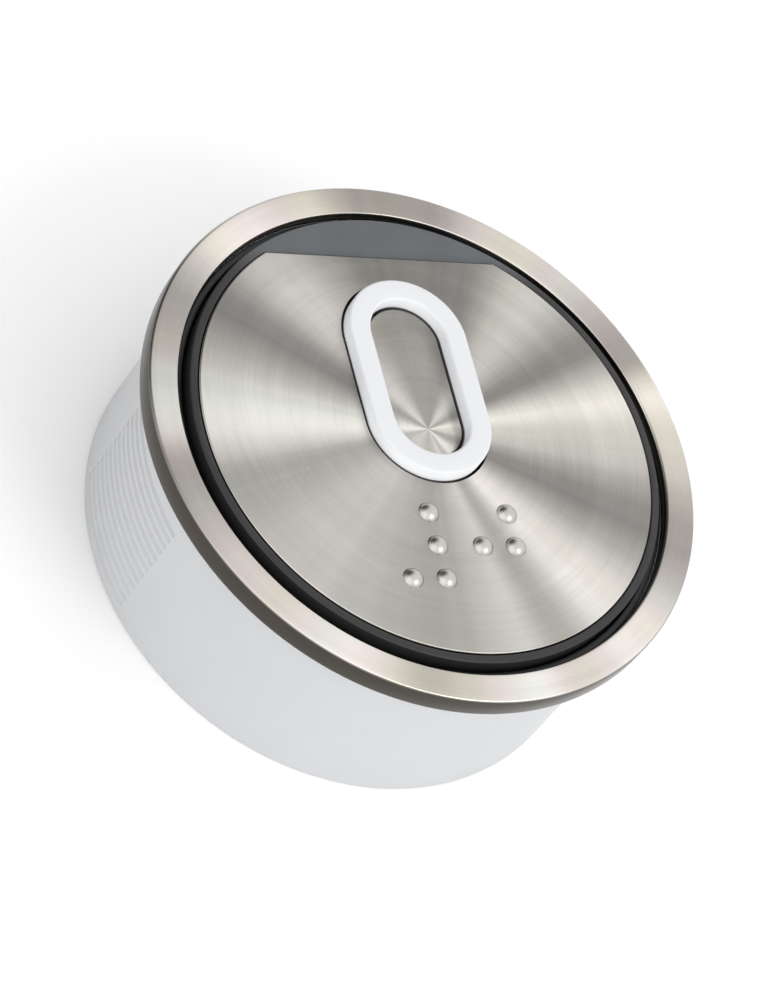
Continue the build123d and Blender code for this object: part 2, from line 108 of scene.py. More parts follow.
class ButtonSizes(bpy.types.PropertyGroup):
    """Sizes of the visible pieces, most of them taken from the frame."""

    bezel_radius: FloatProperty(
        name="Bezel radius", description="Outer radius of the steel bezel",
        default=half_width("bezel_ring"), unit="LENGTH")
    bezel_bore: FloatProperty(
        name="Bezel bore", description="Radius of the opening in the bezel",
        default=17.86 * MM, unit="LENGTH")
    bezel_edge: FloatProperty(
        name="Bezel edge", description="Rounding of the bezel's front edges",
        default=0.22 * MM, unit="LENGTH")
    barrel_radius: FloatProperty(
        name="Barrel radius", description="Outer radius of the white barrel",
        default=18.5 * MM, unit="LENGTH")
    thread_start: FloatProperty(
        name="Thread start", description="Length of smooth barrel in front of the thread",
        default=2.8 * MM, unit="LENGTH")
    thread_depth: FloatProperty(
        name="Thread depth", description="Depth of the thread grooves, worn shallow",
        default=0.18 * MM, unit="LENGTH")
    thread_pitch: FloatProperty(
        name="Thread pitch", description="Distance between neighbouring grooves",
        default=0.75 * MM, unit="LENGTH")
    thread_grooves: IntProperty(
        name="Thread grooves", description="Grooves in each strip of thread", default=13, min=1)
    thread_arc: FloatProperty(
        name="Thread arc", description="Angle that each strip of thread spans",
        default=radians(32), subtype="ANGLE")
    body_bore: FloatProperty(
        name="Body bore", description="Radius of the hollow behind the chassis seat",
        default=17.2 * MM, unit="LENGTH")
    plate_chord: FloatProperty(
        name="Plate chord", description="Distance from the centre to the plate's straight edge",
        default=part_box("face_plate")[1].y, unit="LENGTH")
    plate_edge: FloatProperty(
        name="Plate edge", description="Rounding of the plate's edge",
        default=0.12 * MM, unit="LENGTH")
    numeral_stroke: FloatProperty(
        name="Numeral stroke", description="Width of the white line that draws the numeral",
        default=1.6 * MM, unit="LENGTH")
    numeral_edge: FloatProperty(
        name="Numeral edge", description="Rounding of the numeral's raised edges",
        default=0.20 * MM, unit="LENGTH")
    numeral_gap: FloatProperty(
        name="Numeral gap", description="Width of the groove between the numeral and the steel",
        default=0.2 * MM, unit="LENGTH")
    dot_radius: FloatProperty(
        name="Dot radius", description="Radius of a Braille dot at the plate",
        default=0.75 * MM, unit="LENGTH")
    dot_pitch: FloatProperty(
        name="Dot pitch", description="Distance between neighbouring dots of one cell",
        default=2.5 * MM, unit="LENGTH")
    spring_wire: FloatProperty(
        name="Spring wire", description="Radius of the return springs' wire",
        default=0.14 * MM, unit="LENGTH")
    spring_radius: FloatProperty(
        name="Spring radius", description="Radius of each coil to the middle of its wire",
        default=1.25 * MM, unit="LENGTH")
    spring_turns: IntProperty(
        name="Spring turns", description="Turns of each return spring", default=6, min=1)
    spring_circle: FloatProperty(
        name="Spring circle", description="Distance of the springs from the button's axis",
        default=13.0 * MM, unit="LENGTH")
    travel: FloatProperty(
        name="Travel", description="How far the face moves when pressed",
        default=1.2 * MM, unit="LENGTH")
    turning_steps: IntProperty(
        name="Turning steps", description="Sides of the turned pieces", default=240, min=24)


class ButtonColours(bpy.types.PropertyGroup):
    """Colours of the main finishes."""

    steel: FloatVectorProperty(
        name="Steel", description="Stainless steel of the bezel and the face",
        subtype="COLOR", size=3, default=(0.605, 0.595, 0.558))
    body: FloatVectorProperty(
        name="Body", description="White of the threaded body",
        subtype="COLOR", size=3, default=(0.535, 0.542, 0.555))
    numeral: FloatVectorProperty(
        name="Numeral", description="White of the raised numeral",
        subtype="COLOR", size=3, default=(0.715, 0.725, 0.745))
    carrier: FloatVectorProperty(
        name="Carrier", description="Charcoal of the carrier round the plate",
        subtype="COLOR", size=3, default=(0.022, 0.022, 0.022))
    crescent: FloatVectorProperty(
        name="Crescent", description="Blue-grey of the window above the plate's straight edge",
        subtype="COLOR", size=3, default=(0.110, 0.118, 0.130))
    floor: FloatVectorProperty(
        name="Floor", description="Colour of the studio floor",
        subtype="COLOR", size=3, default=(0.97, 0.97, 0.97))


# ---------------------------------------------------------------- modelling helpers


def start(name):
    """Names the primitive that was just added and returns it."""
    piece = bpy.context.object
    piece.name = name
    piece.data.name = name
    return piece


def activate(piece):
    """Selects one piece alone and makes it active."""
    if bpy.context.object and bpy.context.object.mode != "OBJECT":
        bpy.ops.object.mode_set(mode="OBJECT")
    bpy.ops.object.select_all(action="DESELECT")
    piece.select_set(True)
    bpy.context.view_layer.objects.active = piece


def select_points(piece, test):
    """Enters edit mode with the vertices selected whose place passes the test."""
    activate(piece)
    bpy.ops.object.mode_set(mode="EDIT")
    bpy.ops.mesh.select_mode(type="VERT")
    bpy.ops.mesh.select_all(action="DESELECT")
    bpy.ops.object.mode_set(mode="OBJECT")
    for vertex in piece.data.vertices:
        vertex.select = bool(test(vertex.co))
    bpy.ops.object.mode_set(mode="EDIT")


def clean(piece, distance=EPS / 10):
    """Merges doubles and turns the faces outwards."""
    activate(piece)
    bpy.ops.object.mode_set(mode="EDIT")
    bpy.ops.mesh.select_all(action="SELECT")
    bpy.ops.mesh.remove_doubles(threshold=distance)
    bpy.ops.mesh.normals_make_consistent(inside=False)
    bpy.ops.object.mode_set(mode="OBJECT")


def apply_modifier(piece, kind, **values):
    """Adds a modifier with its values and applies it."""
    activate(piece)
    bpy.ops.object.modifier_add(type=kind)
    modifier = piece.modifiers[-1]
    for key, value in values.items():
        setattr(modifier, key, value)
    bpy.ops.object.modifier_apply(modifier=modifier.name)


def round_edges(piece, width, segments=3, angle=radians(35)):
    """Rounds every edge sharper than the angle."""
    apply_modifier(piece, "BEVEL", width=width, segments=segments, limit_method="ANGLE",
                   angle_limit=angle, harden_normals=False)


def cut(piece, cutter):
    """Cuts one piece with another, which is used up."""
    apply_modifier(piece, "BOOLEAN", operation="DIFFERENCE", object=cutter, solver="EXACT")
    bpy.data.objects.remove(cutter)


def place(piece, body, slot, material, *nodes):
    """Bakes a piece's place, smooths it and hands it to the frame."""
    activate(piece)
    bpy.ops.object.transform_apply(location=True, rotation=True, scale=True)
    bpy.ops.object.shade_smooth_by_angle(angle=radians(32))
    piece.data.materials.clear()
    piece.data.materials.append(material)
    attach(piece, body)
    if nodes:
        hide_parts(*nodes)


def lathe(name, outline, steps):
    """Turns a closed outline of (radius, height) corners about the Z axis."""
    radius, height = outline[0]
    bpy.ops.object.select_all(action="DESELECT")
    bpy.ops.mesh.primitive_circle_add(vertices=steps, radius=radius, location=(0, 0, height))
    piece = start(name)
    bpy.ops.object.transform_apply(location=True, rotation=True, scale=True)
    bpy.ops.object.mode_set(mode="EDIT")
    bpy.ops.mesh.select_all(action="SELECT")
    for next_radius, next_height in outline[1:] + outline[:1]:
        scale = next_radius / radius
        bpy.ops.mesh.extrude_edges_move(TRANSFORM_OT_translate={"value": (0, 0, next_height - height)})
        bpy.ops.transform.resize(value=(scale, scale, 1), center_override=(0, 0, next_height))
        radius, height = next_radius, next_height
    bpy.ops.object.mode_set(mode="OBJECT")
    clean(piece)
    return piece


def stretch_along_y(piece, centre, reach):
    """Pulls a round piece into a long one with straight sides, centred at a height in Y."""
    for side in (1, -1):
        select_points(piece, lambda co, side=side: co.y * side > EPS)
        bpy.ops.transform.translate(value=(0, side * reach, 0))
        bpy.ops.object.mode_set(mode="OBJECT")
    select_points(piece, lambda co: True)
    bpy.ops.transform.translate(value=(0, centre, 0))
    bpy.ops.object.mode_set(mode="OBJECT")


def round_block(name, radius, low, high, steps):
    """A closed disc between two heights."""
    bpy.ops.object.select_all(action="DESELECT")
    bpy.ops.mesh.primitive_cylinder_add(
        vertices=steps, radius=radius, depth=high - low, location=(0, 0, (low + high) / 2))
    piece = start(name)
    bpy.ops.object.transform_apply(location=True, rotation=True, scale=True)
    return piece


def trim_at_chord(piece, chord):
    """Cuts a piece off straight beyond the chord and closes it."""
    select_points(piece, lambda co: True)
    bpy.ops.mesh.bisect(plane_co=(0, chord, 0), plane_no=(0, 1, 0), use_fill=True,
                        clear_outer=True, threshold=EPS / 100)
    bpy.ops.object.mode_set(mode="OBJECT")


def numeral_block(name, width, height, low, high):
    """A solid with the numeral's outer shape, at the numeral's place."""
    box_low, box_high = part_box("zero_island")
    piece = round_block(name, width / 2, low, high, 96)
    stretch_along_y(piece, (box_low.y + box_high.y) / 2, (height - width) / 2)
    return piece


# ---------------------------------------------------------------- shader groups and materials


def new_group(name, inputs, outputs):
    """A shader node group with named sockets; inputs are (name, type, default)."""
    group = bpy.data.node_groups.new(name, "ShaderNodeTree")
    for label, kind, default in inputs:
        socket = group.interface.new_socket(label, in_out="INPUT", socket_type=kind)
        if default is not None:
            socket.default_value = default
    for label, kind in outputs:
        group.interface.new_socket(label, in_out="OUTPUT", socket_type=kind)
    return group, group.nodes.new("NodeGroupInput"), group.nodes.new("NodeGroupOutput")


def node(tree, kind, **values):
    """Adds a node and sets its properties or its inputs by name."""
    made = tree.nodes.new(kind)
    for key, value in values.items():
        if hasattr(made, key):
            setattr(made, key, value)
        else:
            made.inputs[key.replace("_", " ")].default_value = value
    return made


def math(tree, operation, first, second=None):
    """A math node with each input linked or set."""
    made = tree.nodes.new("ShaderNodeMath")
    made.operation = operation
    for index, value in enumerate((first, second)):
        if value is None:
            continue
        if isinstance(value, (int, float)):
            made.inputs[index].default_value = value
        else:
            tree.links.new(value, made.inputs[index])
    return made.outputs[0]


def build_turning_group():
    """Fine circular brushing about the Z axis, as a line mask and its height."""
    group, entry, leave = new_group(
        "turning lines",
        [("Vector", "NodeSocketVector", None), ("Lines per mm", "NodeSocketFloat", 9.0),
         ("Break-up", "NodeSocketFloat", 2.0)],
        [("Lines", "NodeSocketFloat"), ("Drift", "NodeSocketFloat")])
    flat = node(group, "ShaderNodeVectorMath", operation="MULTIPLY")
    flat.inputs[1].default_value = (1, 1, 0)
    group.links.new(entry.outputs["Vector"], flat.inputs[0])
    length = node(group, "ShaderNodeVectorMath", operation="LENGTH")
    group.links.new(flat.outputs[0], length.inputs[0])
    direction = node(group, "ShaderNodeVectorMath", operation="NORMALIZE")
    group.links.new(flat.outputs[0], direction.inputs[0])
    spread = node(group, "ShaderNodeVectorMath", operation="SCALE")
    group.links.new(direction.outputs[0], spread.inputs[0])
    group.links.new(entry.outputs["Break-up"], spread.inputs["Scale"])
    per_metre = math(group, "MULTIPLY", entry.outputs["Lines per mm"], 1 / MM)
    ring_number = math(group, "MULTIPLY", length.outputs["Value"], per_metre)
    height = node(group, "ShaderNodeCombineXYZ")
    group.links.new(ring_number, height.inputs["Z"])
    total = node(group, "ShaderNodeVectorMath", operation="ADD")
    group.links.new(spread.outputs[0], total.inputs[0])
    group.links.new(height.outputs[0], total.inputs[1])
    lines = node(group, "ShaderNodeTexNoise", Scale=1.0, Detail=3.0, Roughness=0.65)
    group.links.new(total.outputs[0], lines.inputs["Vector"])
    broad = node(group, "ShaderNodeTexNoise", Scale=0.13, Detail=2.0, Roughness=0.5)
    group.links.new(total.outputs[0], broad.inputs["Vector"])
    group.links.new(lines.outputs["Fac"], leave.inputs["Lines"])
    group.links.new(broad.outputs["Fac"], leave.inputs["Drift"])
    return group


def build_painted_reflection_fan_group(name, painted_reflection_tones):
    """Painted reflection: broad light and dark rays round the centre of the brushing, with finer rays over
    them, and a painted sheen tint.
    """
    group, entry, leave = new_group(
        name,
        [("Vector", "NodeSocketVector", None), ("Warp", "NodeSocketFloat", 0.008),
         ("Fine rays", "NodeSocketFloat", 0.16)],
        [("Fan", "NodeSocketFloat"), ("Tint", "NodeSocketFloat")])
    split = node(group, "ShaderNodeSeparateXYZ")
    group.links.new(entry.outputs["Vector"], split.inputs[0])
    angle = math(group, "ARCTAN2", split.outputs["Y"], split.outputs["X"])
    wobble = node(group, "ShaderNodeTexNoise", Scale=120.0, Detail=1.0)
    group.links.new(entry.outputs["Vector"], wobble.inputs["Vector"])
    sway = math(group, "SUBTRACT", wobble.outputs["Fac"], 0.5)
    shift = math(group, "MULTIPLY", sway, entry.outputs["Warp"])
    turns = math(group, "ADD", math(group, "DIVIDE", angle, 2 * pi), shift)
    wrapped = math(group, "FRACT", math(group, "ADD", turns, 2.0))
    ramp = node(group, "ShaderNodeValToRGB")
    ramp.color_ramp.interpolation = "EASE"
    stops = ramp.color_ramp.elements
    stops[0].color = (*(painted_reflection_tones[0][1],) * 3, 1)
    stops[1].color = (*(painted_reflection_tones[-1][1],) * 3, 1)
    for degrees, tone in painted_reflection_tones[1:-1]:
        stops.new(degrees / 360).color = (tone, tone, tone, 1)
    group.links.new(wrapped, ramp.inputs["Fac"])
    flat = node(group, "ShaderNodeVectorMath", operation="MULTIPLY")
    flat.inputs[1].default_value = (1, 1, 0)
    group.links.new(entry.outputs["Vector"], flat.inputs[0])
    direction = node(group, "ShaderNodeVectorMath", operation="NORMALIZE")
    group.links.new(flat.outputs[0], direction.inputs[0])
    rays = node(group, "ShaderNodeTexNoise", Scale=9.0, Detail=3.0, Roughness=0.6)
    group.links.new(direction.outputs[0], rays.inputs["Vector"])
    centred = math(group, "SUBTRACT", rays.outputs["Fac"], 0.5)
    fine = math(group, "MULTIPLY", centred, entry.outputs["Fine rays"])
    total = math(group, "ADD", ramp.outputs["Color"], fine)
    total.node.use_clamp = True
    group.links.new(total, leave.inputs["Fan"])
    # painted sheen: slow noise round the centre that picks the rainbow tint
    painted_sheen_tint = node(group, "ShaderNodeTexNoise", Scale=2.2, Detail=1.0)
    group.links.new(direction.outputs[0], painted_sheen_tint.inputs["Vector"])
    group.links.new(painted_sheen_tint.outputs["Fac"], leave.inputs["Tint"])
    return group


def build_grain_group():
    """Moulded or cast surface grain, as a value and a slower mottling."""
    group, entry, leave = new_group(
        "fine grain", [("Vector", "NodeSocketVector", None), ("Grains per mm", "NodeSocketFloat", 6.0)],
        [("Grain", "NodeSocketFloat"), ("Mottle", "NodeSocketFloat")])
    fine = node(group, "ShaderNodeTexNoise", Detail=3.0, Roughness=0.6)
    group.links.new(entry.outputs["Vector"], fine.inputs["Vector"])
    group.links.new(math(group, "MULTIPLY", entry.outputs["Grains per mm"], 1 / MM), fine.inputs["Scale"])
    slow = node(group, "ShaderNodeTexNoise", Detail=2.0, Roughness=0.5)
    group.links.new(entry.outputs["Vector"], slow.inputs["Vector"])
    group.links.new(math(group, "MULTIPLY", entry.outputs["Grains per mm"], 0.05 / MM), slow.inputs["Scale"])
    group.links.new(fine.outputs["Fac"], leave.inputs["Grain"])
    group.links.new(slow.outputs["Fac"], leave.inputs["Mottle"])
    return group


GROUPS = {}
MATERIALS = {}


def shared_group(name, build):
    """The shared node group of that name, built once."""
    if name not in GROUPS:
        GROUPS[name] = build()
    return GROUPS[name]


def base_material(name, **sockets):
    """A node material: its tree, its Principled BSDF and its Object coordinates."""
    material = bpy.data.materials.new(name)
    material.use_nodes = True
    tree = material.node_tree
    shader = tree.nodes["Principled BSDF"]
    for key, value in sockets.items():
        shader.inputs[key.replace("_", " ")].default_value = value
    coordinates = tree.nodes.new("ShaderNodeTexCoord").outputs["Object"]
    return material, tree, shader, coordinates


def place_group(tree, name, build, coordinates, **values):
    """Puts a shared group in a material with its own values."""
    made = tree.nodes.new("ShaderNodeGroup")
    made.node_tree = shared_group(name, build)
    tree.links.new(coordinates, made.inputs["Vector"])
    for key, value in values.items():
        made.inputs[key.replace("_", " ")].default_value = value
    return made


def colour_mix(tree, factor, first, second):
    """Mixes two colours, each linked or set, by a factor."""
    made = tree.nodes.new("ShaderNodeMix")
    made.data_type = "RGBA"
    tree.links.new(factor, made.inputs[0])
    for index, value in ((6, first), (7, second)):
        if isinstance(value, (tuple, list)):
            made.inputs[index].default_value = (*value, 1)
        else:
            tree.links.new(value, made.inputs[index])
    return made.outputs[2]


def remap(tree, value, low, high):
    """Maps a mask from 0..1 to a range."""
    made = tree.nodes.new("ShaderNodeMapRange")
    made.inputs["To Min"].default_value = low
    made.inputs["To Max"].default_value = high
    tree.links.new(value, made.inputs["Value"])
    return made.outputs["Result"]


def bump(tree, shader, height, strength, distance):
    """Feeds a height to the shader's normal."""
    made = tree.nodes.new("ShaderNodeBump")
    made.inputs["Strength"].default_value = strength
    made.inputs["Distance"].default_value = distance
    tree.links.new(height, made.inputs["Height"])
    tree.links.new(made.outputs["Normal"], shader.inputs["Normal"])


def shade(colour, factor):
    """A colour made lighter or darker."""
    return tuple(min(1.0, channel * factor) for channel in colour)


def turning_tangent(tree, coordinates):
    """The direction of the brushing, round the Z axis, for the shader's tangent."""
    around = node(tree, "ShaderNodeVectorMath", operation="CROSS_PRODUCT")
    around.inputs[0].default_value = (0, 0, 1)
    tree.links.new(coordinates, around.inputs[1])
    unit = node(tree, "ShaderNodeVectorMath", operation="NORMALIZE")
    tree.links.new(around.outputs[0], unit.inputs[0])
    world = tree.nodes.new("ShaderNodeVectorTransform")
    world.vector_type = "VECTOR"
    world.convert_from = "OBJECT"
    world.convert_to = "WORLD"
    tree.links.new(unit.outputs[0], world.inputs[0])
    return world.outputs[0]


def turned_steel(name, fan_name, painted_reflection_tones, dark, light, lines_per_mm, roughness, contrast, anisotropy,
                 painted_sheen_tint=0.0, wall=None):
    """Stainless steel brushed in circles: a painted reflection fan of rays with a painted sheen tint, fine
    lines, and an outer wall darkened with painted shade.
    """
    material, tree, shader, coordinates = base_material(
        name, Metallic=1.0, Anisotropic=anisotropy, Anisotropic_Rotation=0.0)
    centre = tree.nodes.new("ShaderNodeMapping")
    centre.inputs["Location"].default_value = tuple(-value for value in BRUSHING_CENTRE)
    tree.links.new(coordinates, centre.inputs["Vector"])
    centred = centre.outputs["Vector"]
    tree.links.new(turning_tangent(tree, centred), shader.inputs["Tangent"])
    lines = place_group(tree, "turning lines", build_turning_group, centred, Lines_per_mm=lines_per_mm)
    fan = place_group(tree, fan_name, lambda: build_painted_reflection_fan_group(fan_name, painted_reflection_tones), centred)
    # painted reflection: the fan's light and dark rays are painted into the base colour
    rays = colour_mix(tree, fan.outputs["Fan"], dark, light)
    # painted sheen: pale yellow, pink and green tints by angle stand in for the rainbow glints of the turned
    # steel
    if painted_sheen_tint:
        painted_sheen_hues = node(tree, "ShaderNodeValToRGB")
        painted_sheen_hues.color_ramp.elements[0].color = (1.0, 0.97, 0.86, 1)
        painted_sheen_hues.color_ramp.elements[0].position = 0.36
        painted_sheen_hues.color_ramp.elements[1].color = (0.95, 1.0, 0.97, 1)
        painted_sheen_hues.color_ramp.elements[1].position = 0.62
        painted_sheen_hues.color_ramp.elements.new(0.5).color = (1.0, 0.90, 0.92, 1)
        tree.links.new(fan.outputs["Tint"], painted_sheen_hues.inputs["Fac"])
        rays = multiply(tree, painted_sheen_tint, rays, painted_sheen_hues.outputs["Color"])
    drift = remap(tree, lines.outputs["Drift"], 0.86, 1.12)
    worn = multiply(tree, 1.0, rays, drift)
    fine = multiply(tree, contrast, worn, remap(tree, lines.outputs["Lines"], 0.35, 1.35))
    # painted shade on the bezel's outer wall
    if wall:
        fine = colour_mix(tree, painted_wall_shade_mask(tree, coordinates, wall), fine, PAINTED_WALL_SHADE)
    tree.links.new(fine, shader.inputs["Base Color"])
    gloss = remap(tree, lines.outputs["Lines"], roughness - 0.06, roughness + 0.06)
    tree.links.new(gloss, shader.inputs["Roughness"])
    bump(tree, shader, lines.outputs["Lines"], 0.10, 0.01 * MM)
    return material


def multiply(tree, strength, first, second):
    """Multiplies one colour by another, at a strength."""
    made = tree.nodes.new("ShaderNodeMix")
    made.data_type = "RGBA"
    made.blend_type = "MULTIPLY"
    made.inputs[0].default_value = strength
    tree.links.new(first, made.inputs[6])
    tree.links.new(second, made.inputs[7])
    return made.outputs[2]


def painted_wall_shade_mask(tree, coordinates, radius):
    """Painted shade mask: one outside a radius from the Z axis, fading in over the rounded edge."""
    flat = node(tree, "ShaderNodeVectorMath", operation="MULTIPLY")
    flat.inputs[1].default_value = (1, 1, 0)
    tree.links.new(coordinates, flat.inputs[0])
    length = node(tree, "ShaderNodeVectorMath", operation="LENGTH")
    tree.links.new(flat.outputs[0], length.inputs[0])
    fade = tree.nodes.new("ShaderNodeMapRange")
    fade.inputs["From Min"].default_value = radius - 0.10 * MM
    fade.inputs["From Max"].default_value = radius - 0.01 * MM
    tree.links.new(length.outputs["Value"], fade.inputs["Value"])
    return fade.outputs["Result"]


def moulded(name, colour, roughness, grains_per_mm=6.0, variation=0.06, bump_strength=0.15, **sockets):
    """Moulded plastic, resin or rubber with a fine grain and slow mottling."""
    material, tree, shader, coordinates = base_material(name, **sockets)
    grain = place_group(tree, "fine grain", build_grain_group, coordinates, Grains_per_mm=grains_per_mm)
    paler, deeper = shade(colour, 1 + variation), shade(colour, 1 - variation)
    mottle = colour_mix(tree, grain.outputs["Mottle"], deeper, paler)
    tree.links.new(mottle, shader.inputs["Base Color"])
    gloss = remap(tree, grain.outputs["Grain"], roughness - 0.07, roughness + 0.07)
    tree.links.new(gloss, shader.inputs["Roughness"])
    bump(tree, shader, grain.outputs["Grain"], bump_strength, 0.03 * MM)
    return material


def height_fade(tree, coordinates, axis, low, high):
    """A smooth step from zero to one along an object axis."""
    split = node(tree, "ShaderNodeSeparateXYZ")
    tree.links.new(coordinates, split.inputs[0])
    fade = tree.nodes.new("ShaderNodeMapRange")
    fade.interpolation_type = "SMOOTHSTEP"
    fade.inputs["From Min"].default_value = low
    fade.inputs["From Max"].default_value = high
    tree.links.new(split.outputs[axis], fade.inputs["Value"])
    return fade.outputs["Result"]


def white_lens(name, colour):
    """White lens plastic, with painted shade in the groove below the plate's surface and painted light making
    its side walls lighter.
    """
    material, tree, shader, coordinates = base_material(name)
    grain = place_group(tree, "fine grain", build_grain_group, coordinates, Grains_per_mm=8.0)
    # painted shade: the mask that darkens the numeral below the plate's surface
    raised = height_fade(tree, coordinates, "Z", top("face_plate") - 0.10 * MM, top("face_plate"))
    toned = colour_mix(tree, grain.outputs["Mottle"], shade(colour, 0.98), shade(colour, 1.02))
    crown = top("symbol_lens")
    crowned = height_fade(tree, coordinates, "Z", crown - 0.25 * MM, crown - 0.05 * MM)
    # painted light: the side walls are painted 26 percent lighter than the top
    painted_lit_sides = colour_mix(tree, crowned, shade(colour, 1.26), toned)
    tree.links.new(colour_mix(tree, raised, PAINTED_GROOVE_SHADE, painted_lit_sides), shader.inputs["Base Color"])
    tree.links.new(remap(tree, grain.outputs["Grain"], 0.40, 0.54), shader.inputs["Roughness"])
    bump(tree, shader, grain.outputs["Grain"], 0.10, 0.03 * MM)
    return material


def smoked_carrier(name, colour, crescent):
    """Charcoal plastic that pales into the blue-grey window towards the top of the numeral."""
    material, tree, shader, coordinates = base_material(name, Specular_IOR_Level=0.4)
    grain = place_group(tree, "fine grain", build_grain_group, coordinates, Grains_per_mm=7.0)
    base = colour_mix(tree, height_fade(tree, coordinates, "Y", 12 * MM, 15 * MM), colour, crescent)
    mottled = multiply(tree, 0.25, base, grain.outputs["Mottle"])
    tree.links.new(mottled, shader.inputs["Base Color"])
    tree.links.new(remap(tree, grain.outputs["Grain"], 0.30, 0.44), shader.inputs["Roughness"])
    bump(tree, shader, grain.outputs["Grain"], 0.10, 0.03 * MM)
    return material


def wire_steel(name, colour, roughness):
    """Small plated or drawn metal, lightly mottled."""
    return moulded(
        name, colour, roughness, grains_per_mm=4.0, variation=0.12, bump_strength=0.05, Metallic=1.0)


def context_sizes():
    """The sizes of the scene in hand."""
    return bpy.context.scene.button_sizes


def make_materials():
    """Every finish of the button, by the record's slot."""
    colours = bpy.context.scene.button_colours
    steel = tuple(colours.steel)
    MATERIALS.update({
        # painted reflection: the bezel's and the face's light and dark rays are painted into their colours
        "turned_steel": turned_steel(
            "turned_steel", "bezel painted reflection fan", BEZEL_PAINTED_REFLECTION_RAYS, shade(steel, 0.46), shade(steel, 1.48), lines_per_mm=6.0,
            roughness=0.26, contrast=0.2, anisotropy=0.7, painted_sheen_tint=0.8, wall=context_sizes().bezel_radius),
        "brushed_face": turned_steel(
            "brushed_face", "face painted reflection fan", FACE_PAINTED_REFLECTION_RAYS, shade(steel, 0.27), shade(steel, 1.42), lines_per_mm=5.0,
            roughness=0.32, contrast=0.25, anisotropy=0.8, painted_sheen_tint=0.35),
        # painted light: the island's steel has a lighter dark tone than the plate round it
        "brushed_island_painted_light": turned_steel(
            "brushed_island_painted_light", "face painted reflection fan", FACE_PAINTED_REFLECTION_RAYS, shade(steel, 0.52), shade(steel, 1.42), lines_per_mm=5.0,
            roughness=0.32, contrast=0.25, anisotropy=0.8, painted_sheen_tint=0.35),
        "dot_steel": moulded("dot_steel", shade(steel, 0.86), 0.32, 9.0, 0.04, 0.04, Metallic=1.0),
        "white_body": moulded("white_body", tuple(colours.body), 0.46, 5.0, 0.02, 0.10,
                              Subsurface_Weight=0.15, Subsurface_Radius=(0.0012, 0.0012, 0.0014)),
        "white_lens": white_lens("white_lens", tuple(colours.numeral)),
        "smoked_plastic": smoked_carrier("smoked_plastic", tuple(colours.carrier), tuple(colours.crescent)),
        "black_plastic": moulded("black_plastic", (0.012, 0.012, 0.013), 0.5),
        "grey_plastic": moulded("grey_plastic", (0.30, 0.31, 0.32), 0.5, 5.0, 0.05, 0.2),
        "rubber": moulded("rubber", (0.02, 0.02, 0.02), 0.75),
        "board_laminate": moulded("board_laminate", (0.02, 0.17, 0.06), 0.28, 3.0, 0.15, 0.05),
        "lamp_resin": moulded("lamp_resin", (0.85, 0.80, 0.52), 0.2, 4.0, 0.05, 0.03),
        "switch_stem": moulded("switch_stem", (0.55, 0.03, 0.02), 0.3),
        "component_black": moulded("component_black", (0.03, 0.03, 0.033), 0.55),
        "connector_plastic": moulded("connector_plastic", (0.80, 0.77, 0.68), 0.45),
        "tinned_brass": wire_steel("tinned_brass", (0.72, 0.69, 0.60), 0.28),
        "spring_steel": wire_steel("spring_steel", (0.5, 0.5, 0.52), 0.25),
        "screw_steel": wire_steel("screw_steel", (0.55, 0.56, 0.58), 0.32),
    })


# ---------------------------------------------------------------- pieces


class BUTTON_OT_bezel(bpy.types.Operator):
    """Turns the steel bezel ring with its rebate and rounded edges."""

    bl_idname = "button.bezel"
    bl_label = "Bezel Ring"

    def execute(self, context):
        sizes = context.scene.button_sizes
        front = top("bezel_ring")
        rebate = top("threaded_body")
        collar = half_width("threaded_body") + 0.05 * MM
        outline = [(sizes.bezel_radius, 0), (sizes.bezel_radius, front), (sizes.bezel_bore, front),
                   (sizes.bezel_bore, rebate), (collar, rebate), (collar, 0)]
        piece = lathe("bezel_turned", outline, sizes.turning_steps)
        round_edges(piece, sizes.bezel_edge)
        place(piece, "root", "turned_steel", MATERIALS["turned_steel"], "bezel_ring")
        return {"FINISHED"}


